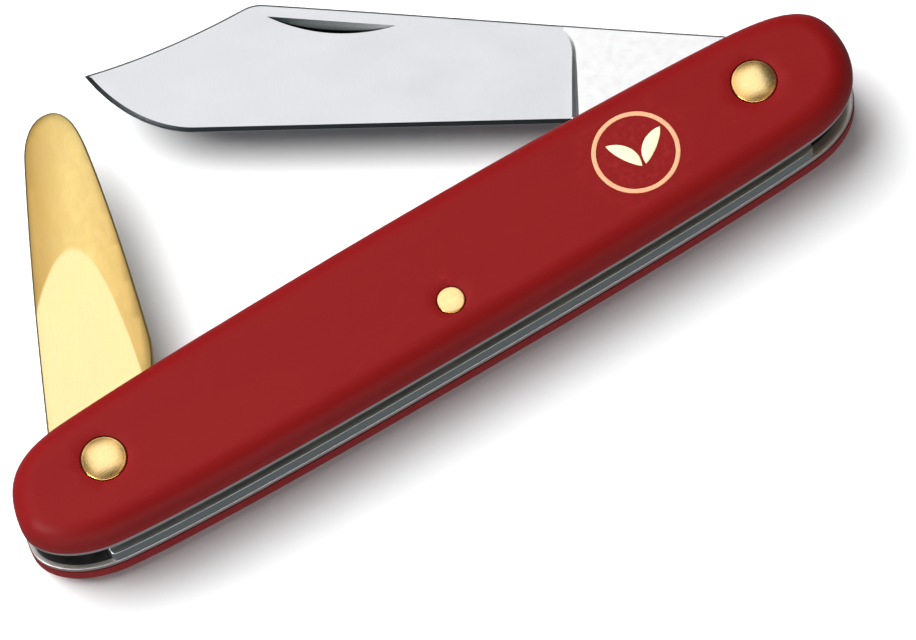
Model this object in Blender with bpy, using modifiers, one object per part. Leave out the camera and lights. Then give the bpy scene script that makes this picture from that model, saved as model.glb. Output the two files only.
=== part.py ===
"""Folding grafting knife: a two-layer slip-joint handle with a curved-tip steel blade at one end and a brass bark
lifter at the other.

Metres, +Z up. The knife lies on its rear scale. X runs along the handle from the lifter's pivot to the blade's pivot,
+Y is the mouth side, where the tools come out, and -Y is the back, where the springs lie. The origin is on the flat
outer face of the rear scale, below the middle of the two pivots. The blade and the lifter are shown part open.
"""

import math

import bmesh
import bpy
from mathutils import Matrix, Vector

MM = 0.001

# ---------------------------------------------------------------- driving dimensions, in millimetres
PIVOT_SPAN = 79.2  # between the two pivots
SPRING_PIN_AT = (-0.1, -4.2)

SCALE_T = 3.35  # handle scales
FRONT_ROUND = 2.6  # rounding of the front scale's outer edge
REAR_ROUND = 1.9  # and of the rear scale's
LINER_T = 0.8  # front and rear liners
CENTRE_LINER_T = 0.45
BLADE_LAYER = 2.1  # the blade's spring; the blade is a little thinner
LIFTER_LAYER = 1.5  # the lifter's spring
STACK_GAP = 0.04  # between two pieces of the stack

LINER_INSET = 0.08  # liners and blade spring, inside the scales' outline
CENTRE_INSET = 0.9  # the centre liner and the lifter spring lie deeper

END_PIN_R = 1.25
SPRING_PIN_R = 1.0
PIN_CLEARANCE = 0.05
END_HEAD_R = 2.45
SPRING_HEAD_R = 1.5
HEAD_SEAT = 0.45  # depth of the counterbore under a rivet's head
HEAD_DOME = 0.42  # height of the head above the scale
SEAT_GAP = 0.08

TANG_R = 4.95  # round part of both tangs
SPRING_FACE = -5.0  # y of the springs' inner face below a tang
SPRING_END = 2.6  # how far a spring's free end runs past its tool's pivot
LUG_R = 4.1  # anchored end of a spring, round the far pivot
SPRING_LUG_R = 2.0  # round the spring pin

BLADE_OPEN = 32.5  # degrees from closed, as shown
LIFTER_OPEN = 67.0  # degrees from the handle's line, as shown
LIFTER_CLOSED = 8.0  # the closed lifter stands this far out, so that a nail can catch it

BLADE_T = 2.04
BLADE_EDGE_T = 0.3
PLUNGE_X = 19.4  # along the blade from the pivot, where the grind ends
NICK_DEPTH = 0.45
LIFTER_T = 1.44
LIFTER_EDGE_T = 0.5

EMBLEM_AT = (24.9, -0.25)
EMBLEM_R = 4.7
EMBLEM_LINE = 0.5
EMBLEM_DEPTH = 0.3
EMBLEM_PROUD = 0.03

# ---------------------------------------------------------------- the stack, from the rear scale's outer face up
Z_REAR_SCALE = (0.0, SCALE_T)
Z_REAR_LINER = (Z_REAR_SCALE[1] + STACK_GAP, Z_REAR_SCALE[1] + STACK_GAP + LINER_T)
Z_BLADE = (Z_REAR_LINER[1] + STACK_GAP, Z_REAR_LINER[1] + STACK_GAP + BLADE_LAYER)
Z_CENTRE = (Z_BLADE[1] + STACK_GAP, Z_BLADE[1] + STACK_GAP + CENTRE_LINER_T)
Z_LIFTER = (Z_CENTRE[1] + STACK_GAP, Z_CENTRE[1] + STACK_GAP + LIFTER_LAYER)
Z_FRONT_LINER = (Z_LIFTER[1] + STACK_GAP, Z_LIFTER[1] + STACK_GAP + LINER_T)
Z_FRONT_SCALE = (Z_FRONT_LINER[1] + STACK_GAP, Z_FRONT_LINER[1] + STACK_GAP + SCALE_T)
TOP = Z_FRONT_SCALE[1]

BLADE_PIVOT = (PIVOT_SPAN / 2, 0.0)
LIFTER_PIVOT = (-PIVOT_SPAN / 2, 0.0)

# Handle outline: Bezier points as (point, handle before, handle after), going round from the middle of the mouth.
HANDLE = [
    ((3.2, 7.75), (-11.8, 7.75), (17.1, 7.75)),
    ((40.5, 6.84), (32.7, 7.41), (47.6, 6.32)),
    ((50.4, 0.2), (50.4, 4.6), (50.4, -3.82)),
    ((41.8, -7.77), (48.15, -7.25), (34.0, -8.41)),
    ((3.4, -8.7), (16.4, -8.7), (-11.6, -8.7)),
    ((-42.1, -7.69), (-31.8, -8.7), (-47.7, -7.14)),
    ((-50.65, -1.3), (-50.97, -4.01), (-49.98, 4.1)),
    ((-41.2, 6.61), (-47.3, 6.21), (-31.0, 7.31)),
]
HANDLE_STEPS = 8

STEEL = ((0.78, 0.79, 0.81, 1), 0.22, 1.0)
LINER_METAL = ((0.72, 0.72, 0.72, 1), 0.35, 1.0)
BRASS = ((0.86, 0.66, 0.27, 1), 0.22, 1.0)
RED_NYLON = ((0.33, 0.018, 0.022, 1), 0.45, 0.0)
CREAM = ((0.92, 0.68, 0.42, 1), 0.5, 0.0)


# ---------------------------------------------------------------- helpers
def clear_scene():
    for obj in list(bpy.data.objects):
        bpy.data.objects.remove(obj, do_unlink=True)
    for block in (bpy.data.meshes, bpy.data.curves):
        for item in list(block):
            if not item.users:
                block.remove(item)


def collection(name):
    made = bpy.data.collections.new(name)
    bpy.context.scene.collection.children.link(made)
    return made


def material(name, look):
    made = bpy.data.materials.new(name)
    made.use_nodes = True
    shader = made.node_tree.nodes["Principled BSDF"]
    shader.inputs["Base Color"].default_value = look[0]
    shader.inputs["Roughness"].default_value = look[1]
    shader.inputs["Metallic"].default_value = look[2]
    made.diffuse_color = look[0]
    return made


def bezier(a, b, c, d, steps):
    """Points along one Bezier segment, without its last one."""
    a, b, c, d = (Vector(p) for p in (a, b, c, d))
    points = []
    for i in range(steps):
        t = i / steps
        s = 1 - t
        points.append(a * s**3 + b * 3 * s * s * t + c * 3 * s * t * t + d * t**3)
    return points


def arc(centre, radius, start, end, steps):
    """Points on an arc, both ends included, in degrees."""
    return [
        Vector(
            (
                centre[0] + radius * math.cos(math.radians(start + (end - start) * i / steps)),
                centre[1] + radius * math.sin(math.radians(start + (end - start) * i / steps)),
            )
        )
        for i in range(steps + 1)
    ]


def handle_outline(inset=0.0):
    """The handle's outline, clockwise seen from the front, moved inwards by inset."""
    points = []
    for (at, _, out), (nxt, into, _) in zip(HANDLE, HANDLE[1:] + HANDLE[:1]):
        points += bezier(at, out, into, nxt, HANDLE_STEPS)
    count = len(points)
    moved = []
    for i, p in enumerate(points):
        along = (points[(i + 1) % count] - points[i - 1]).normalized()
        moved.append(p + Vector((along.y, -along.x)) * inset)
    return moved


def back_edge(inset, left, right):
    """The outline's back edge between two x positions, from right to left."""
    ring = handle_outline(inset)
    back = sorted((p for p in ring if p.y < -3.0), key=lambda p: -p.x)

    def at(x):
        for a, b in zip(back, back[1:]):
            if b.x <= x <= a.x:
                return Vector((x, a.y + (b.y - a.y) * (a.x - x) / (a.x - b.x)))
        raise ValueError("x is outside the back edge")

    return [at(right)] + [p for p in back if left + 0.4 < p.x < right - 0.4] + [at(left)]


def plate(name, outline, z, where, look=None):
    """A flat piece: a closed outline in mm, filled and extruded between two heights, as a mesh object."""
    curve = bpy.data.curves.new(name, "CURVE")
    curve.dimensions = "2D"
    curve.fill_mode = "BOTH"
    curve.extrude = (z[1] - z[0]) / 2 * MM
    spline = curve.splines.new("POLY")
    spline.points.add(len(outline) - 1)
    for point, at in zip(spline.points, outline):
        point.co = (at[0] * MM, at[1] * MM, 0, 1)
    spline.use_cyclic_u = True
    guide = bpy.data.objects.new(name + "_outline", curve)
    bpy.context.scene.collection.objects.link(guide)
    guide.location.z = (z[0] + z[1]) / 2 * MM
    bpy.context.view_layer.update()
    graph = bpy.context.evaluated_depsgraph_get()
    mesh = bpy.data.meshes.new_from_object(guide.evaluated_get(graph))
    mesh.transform(guide.matrix_world)
    bpy.data.objects.remove(guide)
    mesh.name = name
    bm = bmesh.new()
    bm.from_mesh(mesh)
    bmesh.ops.remove_doubles(bm, verts=bm.verts, dist=1e-6)
    bmesh.ops.dissolve_limit(bm, angle_limit=math.radians(0.1), verts=bm.verts, edges=bm.edges)
    bmesh.ops.recalc_face_normals(bm, faces=bm.faces)
    bm.to_mesh(mesh)
    bm.free()
    made = bpy.data.objects.new(name, mesh)
    where.objects.link(made)
    if look:
        mesh.materials.clear()
        mesh.materials.append(look)
    return made


def turned(name, profile, at, where, look=None, steps=32):
    """A turned piece: a profile of (radius, z) in mm, outer side from top to bottom, swept round an upright axis."""
    mesh = bpy.data.meshes.new(name)
    bm = bmesh.new()
    row = [bm.verts.new((r * MM, 0, z * MM)) for r, z in profile]
    for a, b in zip(row, row[1:]):
        bm.edges.new((a, b))
    bm.to_mesh(mesh)
    bm.free()
    made = bpy.data.objects.new(name, mesh)
    made.location = (at[0] * MM, at[1] * MM, 0)
    where.objects.link(made)
    screw = made.modifiers.new("turn", "SCREW")
    screw.axis = "Z"
    screw.steps = steps
    screw.render_steps = steps
    screw.use_merge_vertices = True
    screw.merge_threshold = 1e-6
    if look:
        mesh.materials.append(look)
    return made


def cutter(obj):
    obj.hide_render = True
    obj.display_type = "WIRE"
    return obj


def cut(piece, tool, name="cut"):
    boolean = piece.modifiers.new(name, "BOOLEAN")
    boolean.operation = "DIFFERENCE"
    boolean.solver = "EXACT"
    boolean.object = tool
    return boolean


def drill(name, at, radius, z, where, steps=32):
    """A cutter for an upright hole."""
    return cutter(turned(name, [(0, z[1]), (radius, z[1]), (radius, z[0]), (0, z[0])], at, where, steps=steps))


def smooth(piece, angle=35):
    piece.data.shade_smooth()
    piece.data.set_sharp_from_angle(angle=math.radians(angle))


def round_outer_edge(piece, at_z, width, segments):
    """Bevel weight on the edges that lie at one height, and a Bevel modifier that reads it."""
    bm = bmesh.new()
    bm.from_mesh(piece.data)
    weight = bm.edges.layers.float.new("bevel_weight_edge")
    for edge in bm.edges:
        if all(abs(v.co.z - at_z * MM) < 1e-6 for v in edge.verts) and len(edge.link_faces) == 2:
            if edge.calc_face_angle(0) > 1.0:
                edge[weight] = 1.0
    bm.to_mesh(piece.data)
    bm.free()
    bevel = piece.modifiers.new("rounded_edge", "BEVEL")
    bevel.limit_method = "WEIGHT"
    bevel.width = width * MM
    bevel.segments = segments
    bevel.use_clamp_overlap = False


# ---------------------------------------------------------------- outlines of the tools and springs
def blade_outline():
    """The closed blade about its pivot: x along the blade, y towards the spine."""
    points = [Vector((4.6, -TANG_R))]
    points += bezier((4.6, -TANG_R), (9.4, -4.75), (12.6, -1.35), (19.7, -1.5), 8)[1:]
    points.append(Vector((19.7, -1.5)))
    points += bezier((60.0, -2.36), (64.6, -2.55), (69.4, 0.22), (72.6, 4.25), 10)
    points += bezier((72.6, 4.25), (68.2, 5.51), (62.7, 7.56), (55.9, 11.57), 8)
    points += bezier((55.9, 11.57), (54.9, 12.17), (54.2, 12.32), (53.2, 12.24), 5)
    points += bezier((53.2, 12.24), (36.2, 10.98), (17.1, 9.15), (3.4, 8.2), 8)
    points += [Vector((3.4, 8.2)), Vector((3.0, TANG_R))]
    points += arc((0, 0), TANG_R, 90, 270, 20)
    return [Vector((-p.x, p.y)) for p in points]


def lifter_outline():
    """The lifter about its pivot, laid along the handle: x along the lifter, y away from the back."""
    flat = math.radians(270 - LIFTER_CLOSED)
    foot = Vector((TANG_R * math.cos(flat), TANG_R * math.sin(flat)))
    along = Vector((math.cos(math.radians(-LIFTER_CLOSED)), math.sin(math.radians(-LIFTER_CLOSED))))
    points = [foot + along * 5.0]
    points += bezier((10.9, -5.76), (12.3, -5.91), (13.75, -6.06), (15.4, -5.75), 5)
    points += bezier((15.4, -5.75), (22.3, -4.71), (30.4, -3.3), (37.6, -1.5), 6)
    points += bezier((37.6, -1.5), (40.0, -0.86), (42.4, 0.0), (42.5, 1.85), 7)
    points += bezier((42.5, 1.85), (42.55, 3.75), (40.6, 5.15), (37.1, 5.33), 7)
    points += bezier((37.1, 5.33), (28.6, 5.74), (18.5, 6.05), (3.6, 6.0), 6)
    points += [Vector((3.6, 6.0)), Vector((3.0, TANG_R))]
    points += arc((0, 0), TANG_R, 90, 270 - LIFTER_CLOSED, 20)
    return points


def spring_outline(inset, anchored, free, side):
    """A back spring: side is +1 when its free end is at the blade's end. anchored and free are the pivots' x."""
    end = free + side * SPRING_END
    far = anchored - side * LUG_R
    back = back_edge(inset, min(end, far), max(end, far))
    if side > 0:
        back.reverse()
    # back now runs from the anchored end to the free end.
    pin = SPRING_PIN_AT
    points = list(back)
    points[-1] = Vector((end, points[-1].y + 0.5))
    points.insert(len(points) - 1, Vector((end - side * 0.5, back[-1].y)))
    points.append(Vector((end, SPRING_FACE - 0.4)))
    points.append(Vector((end - side * 0.4, SPRING_FACE)))
    points.append(Vector((free - side * 4.5, SPRING_FACE)))
    points += bezier(
        (free - side * 9.0, -4.75), (free - side * 18.0, -4.6), (pin[0] + side * 8.0, -4.6), (pin[0] + side * 4.0, -4.1), 6
    )
    if side > 0:
        points += arc(pin, SPRING_LUG_R, 20, 160, 8)
    else:
        points += arc(pin, SPRING_LUG_R, 160, 20, 8)
    points += bezier(
        (pin[0] - side * 4.0, -4.1), (pin[0] - side * 8.0, -4.7), (anchored + side * 16.0, -4.7), (anchored + side * 7.5, -4.5), 6
    )
    points += bezier(
        (anchored + side * 7.5, -4.5), (anchored + side * 5.5, -4.4), (anchored + side * LUG_R, -3.4), (anchored + side * LUG_R, 0), 5
    )
    if side > 0:
        points += arc((anchored, 0), LUG_R, 0, 180, 14)
    else:
        points += arc((anchored, 0), LUG_R, 180, 0, 14)
    return points


def leaf_outline(at, length, width, turn):
    """A pointed leaf from its stalk end at `at`, turned in degrees."""
    side = bezier((0, 0), (length * 0.25, width), (length * 0.75, width * 0.85), (length, 0), 6)
    other = bezier((length, 0), (length * 0.75, -width * 0.35), (length * 0.25, -width * 0.3), (0, 0), 6)
    c, s = math.cos(math.radians(turn)), math.sin(math.radians(turn))
    return [Vector((at[0] + p.x * c - p.y * s, at[1] + p.x * s + p.y * c)) for p in side + other]


# ---------------------------------------------------------------- build
clear_scene()
parts = collection("grafting_knife")
tools = collection("cutters")

red = material("red_nylon", RED_NYLON)
steel = material("blade_steel", STEEL)
spring_steel = material("spring_steel", ((0.6, 0.62, 0.63, 1), 0.3, 1.0))
liner_metal = material("liner_metal", LINER_METAL)
brass = material("brass", BRASS)
cream = material("emblem_cream", CREAM)

PINS = (
    ("blade", BLADE_PIVOT, END_PIN_R, END_HEAD_R),
    ("lifter", LIFTER_PIVOT, END_PIN_R, END_HEAD_R),
    ("spring", SPRING_PIN_AT, SPRING_PIN_R, SPRING_HEAD_R),
)

holes = {}
for pin_name, pin_at, pin_r, _ in PINS:
    holes[pin_name] = drill(
        "cut_" + pin_name + "_pin_hole", pin_at, pin_r + PIN_CLEARANCE, (-2.0, TOP + 2.0), tools
    )

# Scales
front_scale = plate("front_scale", handle_outline(), Z_FRONT_SCALE, parts, red)
round_outer_edge(front_scale, Z_FRONT_SCALE[1], FRONT_ROUND, 6)
rear_scale = plate("rear_scale", handle_outline(), Z_REAR_SCALE, parts, red)
round_outer_edge(rear_scale, Z_REAR_SCALE[0], REAR_ROUND, 5)
for pin_name, pin_at, pin_r, head_r in PINS:
    hole_r, seat_r = pin_r + PIN_CLEARANCE, head_r + SEAT_GAP
    front_floor, rear_floor = TOP - HEAD_SEAT - STACK_GAP, HEAD_SEAT + STACK_GAP
    front_hole = turned(
        "cut_" + pin_name + "_front_hole",
        [(0, TOP + 2), (seat_r, TOP + 2), (seat_r, front_floor), (hole_r, front_floor), (hole_r, TOP - 5), (0, TOP - 5)],
        pin_at,
        tools,
    )
    rear_hole = turned(
        "cut_" + pin_name + "_rear_hole",
        [(0, 5), (hole_r, 5), (hole_r, rear_floor), (seat_r, rear_floor), (seat_r, -2), (0, -2)],
        pin_at,
        tools,
    )
    cut(front_scale, cutter(front_hole), pin_name + "_hole")
    cut(rear_scale, cutter(rear_hole), pin_name + "_hole")

# Liners
front_liner = plate("front_liner", handle_outline(LINER_INSET), Z_FRONT_LINER, parts, liner_metal)
rear_liner = plate("rear_liner", handle_outline(LINER_INSET), Z_REAR_LINER, parts, liner_metal)
centre_liner = plate("centre_liner", handle_outline(CENTRE_INSET), Z_CENTRE, parts, liner_metal)
for liner in (front_liner, rear_liner, centre_liner):
    for pin_name, hole in holes.items():
        cut(liner, hole, pin_name + "_hole")
    smooth(liner)

# Back springs: each is held by the spring pin and by the other tool's pivot, and its free end bears on its tang.
blade_spring = plate(
    "blade_back_spring",
    spring_outline(LINER_INSET, LIFTER_PIVOT[0], BLADE_PIVOT[0], +1),
    Z_BLADE,
    parts,
    spring_steel,
)
lifter_spring = plate(
    "lifter_back_spring",
    spring_outline(CENTRE_INSET, BLADE_PIVOT[0], LIFTER_PIVOT[0], -1),
    Z_LIFTER,
    parts,
    spring_steel,
)
cut(blade_spring, holes["lifter"], "pivot_hole")
cut(blade_spring, holes["spring"], "pin_hole")
cut(lifter_spring, holes["blade"], "pivot_hole")
cut(lifter_spring, holes["spring"], "pin_hole")
smooth(blade_spring)
smooth(lifter_spring)

# Rivets: a domed head at the front, and a shank that is closed over a burr at the rear.
for pin_name, pin_at, pin_r, head_r in PINS:
    label = pin_name + ("_pivot_rivet" if pin_name != "spring" else "_rivet")
    dome = [
        (head_r * math.sin(math.radians(a)), TOP + HEAD_DOME * math.cos(math.radians(a))) for a in (0, 18, 36, 54, 72, 90)
    ]
    profile = dome + [
        (head_r, TOP - HEAD_SEAT),
        (pin_r, TOP - HEAD_SEAT),
        (pin_r, -0.2),
        (pin_r * 0.8, -0.3),
        (0.0, -0.36),
    ]
    rivet = turned(label, profile, pin_at, parts, brass)
    smooth(rivet)
    ring_in = pin_r + PIN_CLEARANCE
    burr_profile = [
        (ring_in, HEAD_SEAT),
        (head_r, HEAD_SEAT),
        (head_r, 0.0),
        (head_r * 0.86, -0.16),
        (ring_in, -0.24),
        (ring_in, HEAD_SEAT),
    ]
    burr = turned(pin_name + "_rivet_burr", burr_profile, pin_at, parts, brass)
    smooth(burr)

# Blade, made closed about its pivot and then turned to the position shown
blade_mid = (Z_BLADE[0] + Z_BLADE[1]) / 2
blade = plate("grafting_blade", blade_outline(), (-BLADE_T / 2, BLADE_T / 2), parts, steel)
blade.location = (BLADE_PIVOT[0] * MM, BLADE_PIVOT[1] * MM, blade_mid * MM)
blade.rotation_euler.z = math.radians(-BLADE_OPEN)


def on_blade(tool):
    """Carries a cutter made in the closed blade's own frame to where the blade is."""
    tool.parent = blade
    return cutter(tool)


def upright_prism(name, section, x_range, where):
    """A cutter whose section, in (y, z), runs along X."""
    tool = plate(name, section, (x_range[0], x_range[1]), where)
    tool.data.transform(Matrix(((0, 0, 1, 0), (1, 0, 0, 0), (0, 1, 0, 0), (0, 0, 0, 1))))
    return tool


low, high = -2.42, 12.3
half_edge, half_spine = BLADE_EDGE_T / 2, BLADE_T / 2 - 0.05
slope = (half_spine - half_edge) / (high - low)
section = [
    (low - 3.0, half_edge - 3.0 * slope),
    (high + 3.0, half_spine + 3.0 * slope),
    (high + 3.0, 4.0),
    (low - 3.0, 4.0),
]
front_grind = on_blade(upright_prism("cut_blade_front_grind", section, (-80.0, -PLUNGE_X), tools))
rear_grind = on_blade(
    upright_prism("cut_blade_rear_grind", [(y, -z) for y, z in reversed(section)], (-80.0, -PLUNGE_X), tools)
)
chord_a, chord_b = Vector((-53.0, 10.86)), Vector((-38.9, 9.69))
sagitta = 1.4
half_chord = (chord_b - chord_a).length / 2
nick_r = (half_chord**2 + sagitta**2) / (2 * sagitta)
middle = (chord_a + chord_b) / 2
across = Vector((-(chord_b - chord_a).y, (chord_b - chord_a).x)).normalized()
centre = middle + across * (nick_r - sagitta)
spread = math.degrees(math.asin(half_chord / nick_r))
aim = math.degrees(math.atan2(-across.y, -across.x))
nick = on_blade(
    plate("cut_nail_nick", arc(centre, nick_r, aim - spread, aim + spread, 14), (BLADE_T / 2 - NICK_DEPTH, 3.0), tools)
)
pivot_hole = on_blade(drill("cut_blade_tang_hole", (0, 0), END_PIN_R + PIN_CLEARANCE, (-3.0, 3.0), tools))
cut(blade, front_grind, "front_grind")
cut(blade, rear_grind, "rear_grind")
cut(blade, nick, "nail_nick")
cut(blade, pivot_hole, "pivot_hole")
smooth(blade, 20)

# Bark lifter: flat near the handle, thinned towards its tip on the front
lifter_mid = (Z_LIFTER[0] + Z_LIFTER[1]) / 2
lifter = plate("bark_lifter", lifter_outline(), (-LIFTER_T / 2, LIFTER_T / 2), parts, brass)
lifter.location = (LIFTER_PIVOT[0] * MM, LIFTER_PIVOT[1] * MM, lifter_mid * MM)
lifter.rotation_euler.z = math.radians(LIFTER_OPEN)
thin_from, thin_to = 24.5, 42.5
section = [
    (thin_from, LIFTER_T / 2),
    (thin_to + 2.0, -LIFTER_T / 2 + LIFTER_EDGE_T),
    (thin_to + 2.0, 3.0),
    (thin_from, 3.0),
]
thinning = plate("cut_lifter_thinning", section, (-12.0, 12.0), tools)
thinning.data.transform(Matrix(((1, 0, 0, 0), (0, 0, -1, 0), (0, 1, 0, 0), (0, 0, 0, 1))))
thinning.parent = lifter
cutter(thinning)
lifter_hole = drill("cut_lifter_tang_hole", (0, 0), END_PIN_R + PIN_CLEARANCE, (-3.0, 3.0), tools)
lifter_hole.parent = lifter
cut(lifter, thinning, "thinning")
cut(lifter, lifter_hole, "pivot_hole")
smooth(lifter, 20)

# Emblem: a ring and a sprig of two leaves, inlaid in the front scale
ring_z = (TOP - EMBLEM_DEPTH + STACK_GAP, TOP + EMBLEM_PROUD)
ring = turned(
    "emblem_ring",
    [
        (EMBLEM_R - EMBLEM_LINE, ring_z[1]),
        (EMBLEM_R, ring_z[1]),
        (EMBLEM_R, ring_z[0]),
        (EMBLEM_R - EMBLEM_LINE, ring_z[0]),
        (EMBLEM_R - EMBLEM_LINE, ring_z[1]),
    ],
    EMBLEM_AT,
    parts,
    cream,
    steps=40,
)
ring_seat = turned(
    "cut_emblem_ring_seat",
    [
        (EMBLEM_R - EMBLEM_LINE - STACK_GAP, TOP + 1.0),
        (EMBLEM_R + STACK_GAP, TOP + 1.0),
        (EMBLEM_R + STACK_GAP, TOP - EMBLEM_DEPTH),
        (EMBLEM_R - EMBLEM_LINE - STACK_GAP, TOP - EMBLEM_DEPTH),
        (EMBLEM_R - EMBLEM_LINE - STACK_GAP, TOP + 1.0),
    ],
    EMBLEM_AT,
    tools,
    steps=40,
)
cut(front_scale, cutter(ring_seat), "emblem_ring_seat")
smooth(ring)
for leaf_name, foot, turn in (("emblem_leaf_left", (-0.25, -1.7), 118), ("emblem_leaf_right", (0.25, -1.7), 40)):
    at = (EMBLEM_AT[0] + foot[0], EMBLEM_AT[1] + foot[1])
    width = 1.6 if turn < 90 else -1.6
    leaf = plate(leaf_name, leaf_outline(at, 4.5, width, turn), ring_z, parts, cream)
    seat_outline = leaf_outline(at, 4.5, width, turn)
    middle = sum(seat_outline, Vector((0, 0))) / len(seat_outline)
    grown = [p + (p - middle).normalized() * STACK_GAP * 2 for p in seat_outline]
    cut(front_scale, cutter(plate("cut_" + leaf_name, grown, (TOP - EMBLEM_DEPTH, TOP + 1.0), tools)), leaf_name)
smooth(front_scale)
smooth(rear_scale)
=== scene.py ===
import math

import bmesh
import bpy
import numpy as np
from mathutils import Matrix, Vector
from mathutils.geometry import delaunay_2d_cdt


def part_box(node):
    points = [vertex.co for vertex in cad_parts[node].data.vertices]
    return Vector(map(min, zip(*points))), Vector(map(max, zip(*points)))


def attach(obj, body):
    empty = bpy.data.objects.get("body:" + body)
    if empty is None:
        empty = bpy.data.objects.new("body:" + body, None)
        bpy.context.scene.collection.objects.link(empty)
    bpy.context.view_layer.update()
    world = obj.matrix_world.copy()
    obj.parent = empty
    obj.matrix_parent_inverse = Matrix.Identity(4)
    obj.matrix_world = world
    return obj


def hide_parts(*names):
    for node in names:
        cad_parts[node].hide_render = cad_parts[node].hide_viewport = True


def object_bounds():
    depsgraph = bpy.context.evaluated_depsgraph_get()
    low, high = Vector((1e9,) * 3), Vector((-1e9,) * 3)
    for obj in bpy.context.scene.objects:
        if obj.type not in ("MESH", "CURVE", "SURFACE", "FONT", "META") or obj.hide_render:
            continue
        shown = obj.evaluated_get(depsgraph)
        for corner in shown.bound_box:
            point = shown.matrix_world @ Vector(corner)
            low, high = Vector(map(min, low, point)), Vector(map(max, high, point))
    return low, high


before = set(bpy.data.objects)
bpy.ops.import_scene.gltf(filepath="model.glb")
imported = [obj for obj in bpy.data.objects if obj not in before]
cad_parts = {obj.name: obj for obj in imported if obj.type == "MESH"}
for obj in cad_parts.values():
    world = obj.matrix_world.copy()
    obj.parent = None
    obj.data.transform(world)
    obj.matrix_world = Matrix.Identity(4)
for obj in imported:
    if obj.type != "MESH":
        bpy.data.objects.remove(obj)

scene = bpy.context.scene
scene.view_settings.view_transform = "Standard"
scene.view_settings.look = "None"

cad_low, cad_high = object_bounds()
MM = 0.001

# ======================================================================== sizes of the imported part, in millimetres
BLADE_PIVOT = Vector((39.6, 0.0))
LIFTER_PIVOT = Vector((-39.6, 0.0))
SPRING_PIN = Vector((-0.1, -4.2))


def heights(node):
    low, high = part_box(node)
    return low.z / MM, high.z / MM


Z_REAR_SCALE = heights("rear_scale")
Z_REAR_LINER = heights("rear_liner")
Z_BLADE_SPRING = heights("blade_back_spring")
Z_CENTRE = heights("centre_liner")
Z_LIFTER_SPRING = heights("lifter_back_spring")
Z_FRONT_LINER = heights("front_liner")
Z_FRONT_SCALE = heights("front_scale")
Z_BLADE = heights("grafting_blade")
Z_LIFTER = heights("bark_lifter")
TOP = Z_FRONT_SCALE[1]

FRONT_ROUND = 2.6
REAR_ROUND = 1.9
LINER_INSET = 0.08
CENTRE_INSET = 0.9
END_PIN_R, SPRING_PIN_R, PIN_GAP = 1.25, 1.0, 0.05
END_HEAD_R, SPRING_HEAD_R = 2.45, 1.5
HEAD_SEAT, HEAD_DOME, SEAT_GAP = 0.45, 0.42, 0.08
TANG_R = 4.95
SPRING_FACE, SPRING_END = -5.0, 2.6
LUG_R, SPRING_LUG_R = 4.1, 2.0
BLADE_OPEN, LIFTER_OPEN, LIFTER_CLOSED = 32.5, 67.0, 8.0
EMBLEM_AT = Vector((24.9, -0.25))
EMBLEM_R, EMBLEM_LINE, EMBLEM_DEPTH, EMBLEM_PROUD = 4.7, 0.5, 0.3, 0.03

HANDLE = [
    ((3.2, 7.75), (-11.8, 7.75), (17.1, 7.75)),
    ((40.5, 6.84), (32.7, 7.41), (47.6, 6.32)),
    ((50.4, 0.2), (50.4, 4.6), (50.4, -3.82)),
    ((41.8, -7.77), (48.15, -7.25), (34.0, -8.41)),
    ((3.4, -8.7), (16.4, -8.7), (-11.6, -8.7)),
    ((-42.1, -7.69), (-31.8, -8.7), (-47.7, -7.14)),
    ((-50.65, -1.3), (-50.97, -4.01), (-49.98, 4.1)),
    ((-41.2, 6.61), (-47.3, 6.21), (-31.0, 7.31)),
]


# ======================================================================== plane curves
def bezier(a, b, c, d, steps, last=False):
    a, b, c, d = (np.array(p, float) for p in (a, b, c, d))
    t = np.arange(steps + (1 if last else 0))[:, None] / steps
    s = 1 - t
    return a * s**3 + b * 3 * s * s * t + c * 3 * s * t * t + d * t**3


def arc(centre, radius, start, end, steps):
    a = np.radians(np.linspace(start, end, steps + 1))
    return np.stack([centre[0] + radius * np.cos(a), centre[1] + radius * np.sin(a)], 1)


def circle(centre, radius, steps=72):
    return arc(centre, radius, 0, 360, steps)[:-1]


def even(points, gap):
    """A closed line again, at even steps."""
    ring = np.vstack([points, points[:1]])
    length = np.r_[0, np.cumsum(np.linalg.norm(np.diff(ring, axis=0), axis=1))]
    count = max(8, int(round(length[-1] / gap)))
    at = np.linspace(0, length[-1], count, endpoint=False)
    return np.stack([np.interp(at, length, ring[:, k]) for k in (0, 1)], 1)


def offset(points, inset):
    """A clockwise closed line moved inwards."""
    along = np.roll(points, -1, 0) - np.roll(points, 1, 0)
    along /= np.linalg.norm(along, axis=1)[:, None]
    return points + np.stack([along[:, 1], -along[:, 0]], 1) * inset


def offset_open(points, inset, side):
    along = np.gradient(points, axis=0)
    along /= np.linalg.norm(along, axis=1)[:, None]
    return points + np.stack([along[:, 1], -along[:, 0]], 1) * inset * side


def handle_outline(inset=0.0, steps=26):
    rows = []
    for (at, _, out), (nxt, into, _) in zip(HANDLE, HANDLE[1:] + HANDLE[:1]):
        rows.append(bezier(at, out, into, nxt, steps))
    line = np.vstack(rows)
    line[:, 0] = np.clip(line[:, 0], -50.65, 50.4)
    return offset(line, inset)


def distance(points, line, closed=True):
    """Distance from each point to a line of segments."""
    a = line if closed else line[:-1]
    b = np.roll(line, -1, 0) if closed else line[1:]
    best = np.full(len(points), 1e9)
    for start in range(0, len(points), 4000):
        p = points[start : start + 4000, None, :]
        d = (b - a)[None]
        t = np.clip(((p - a[None]) * d).sum(-1) / np.maximum((d * d).sum(-1), 1e-12), 0, 1)
        gap = np.linalg.norm(p - (a[None] + t[..., None] * d), axis=-1)
        best[start : start + 4000] = gap.min(1)
    return best


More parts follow.
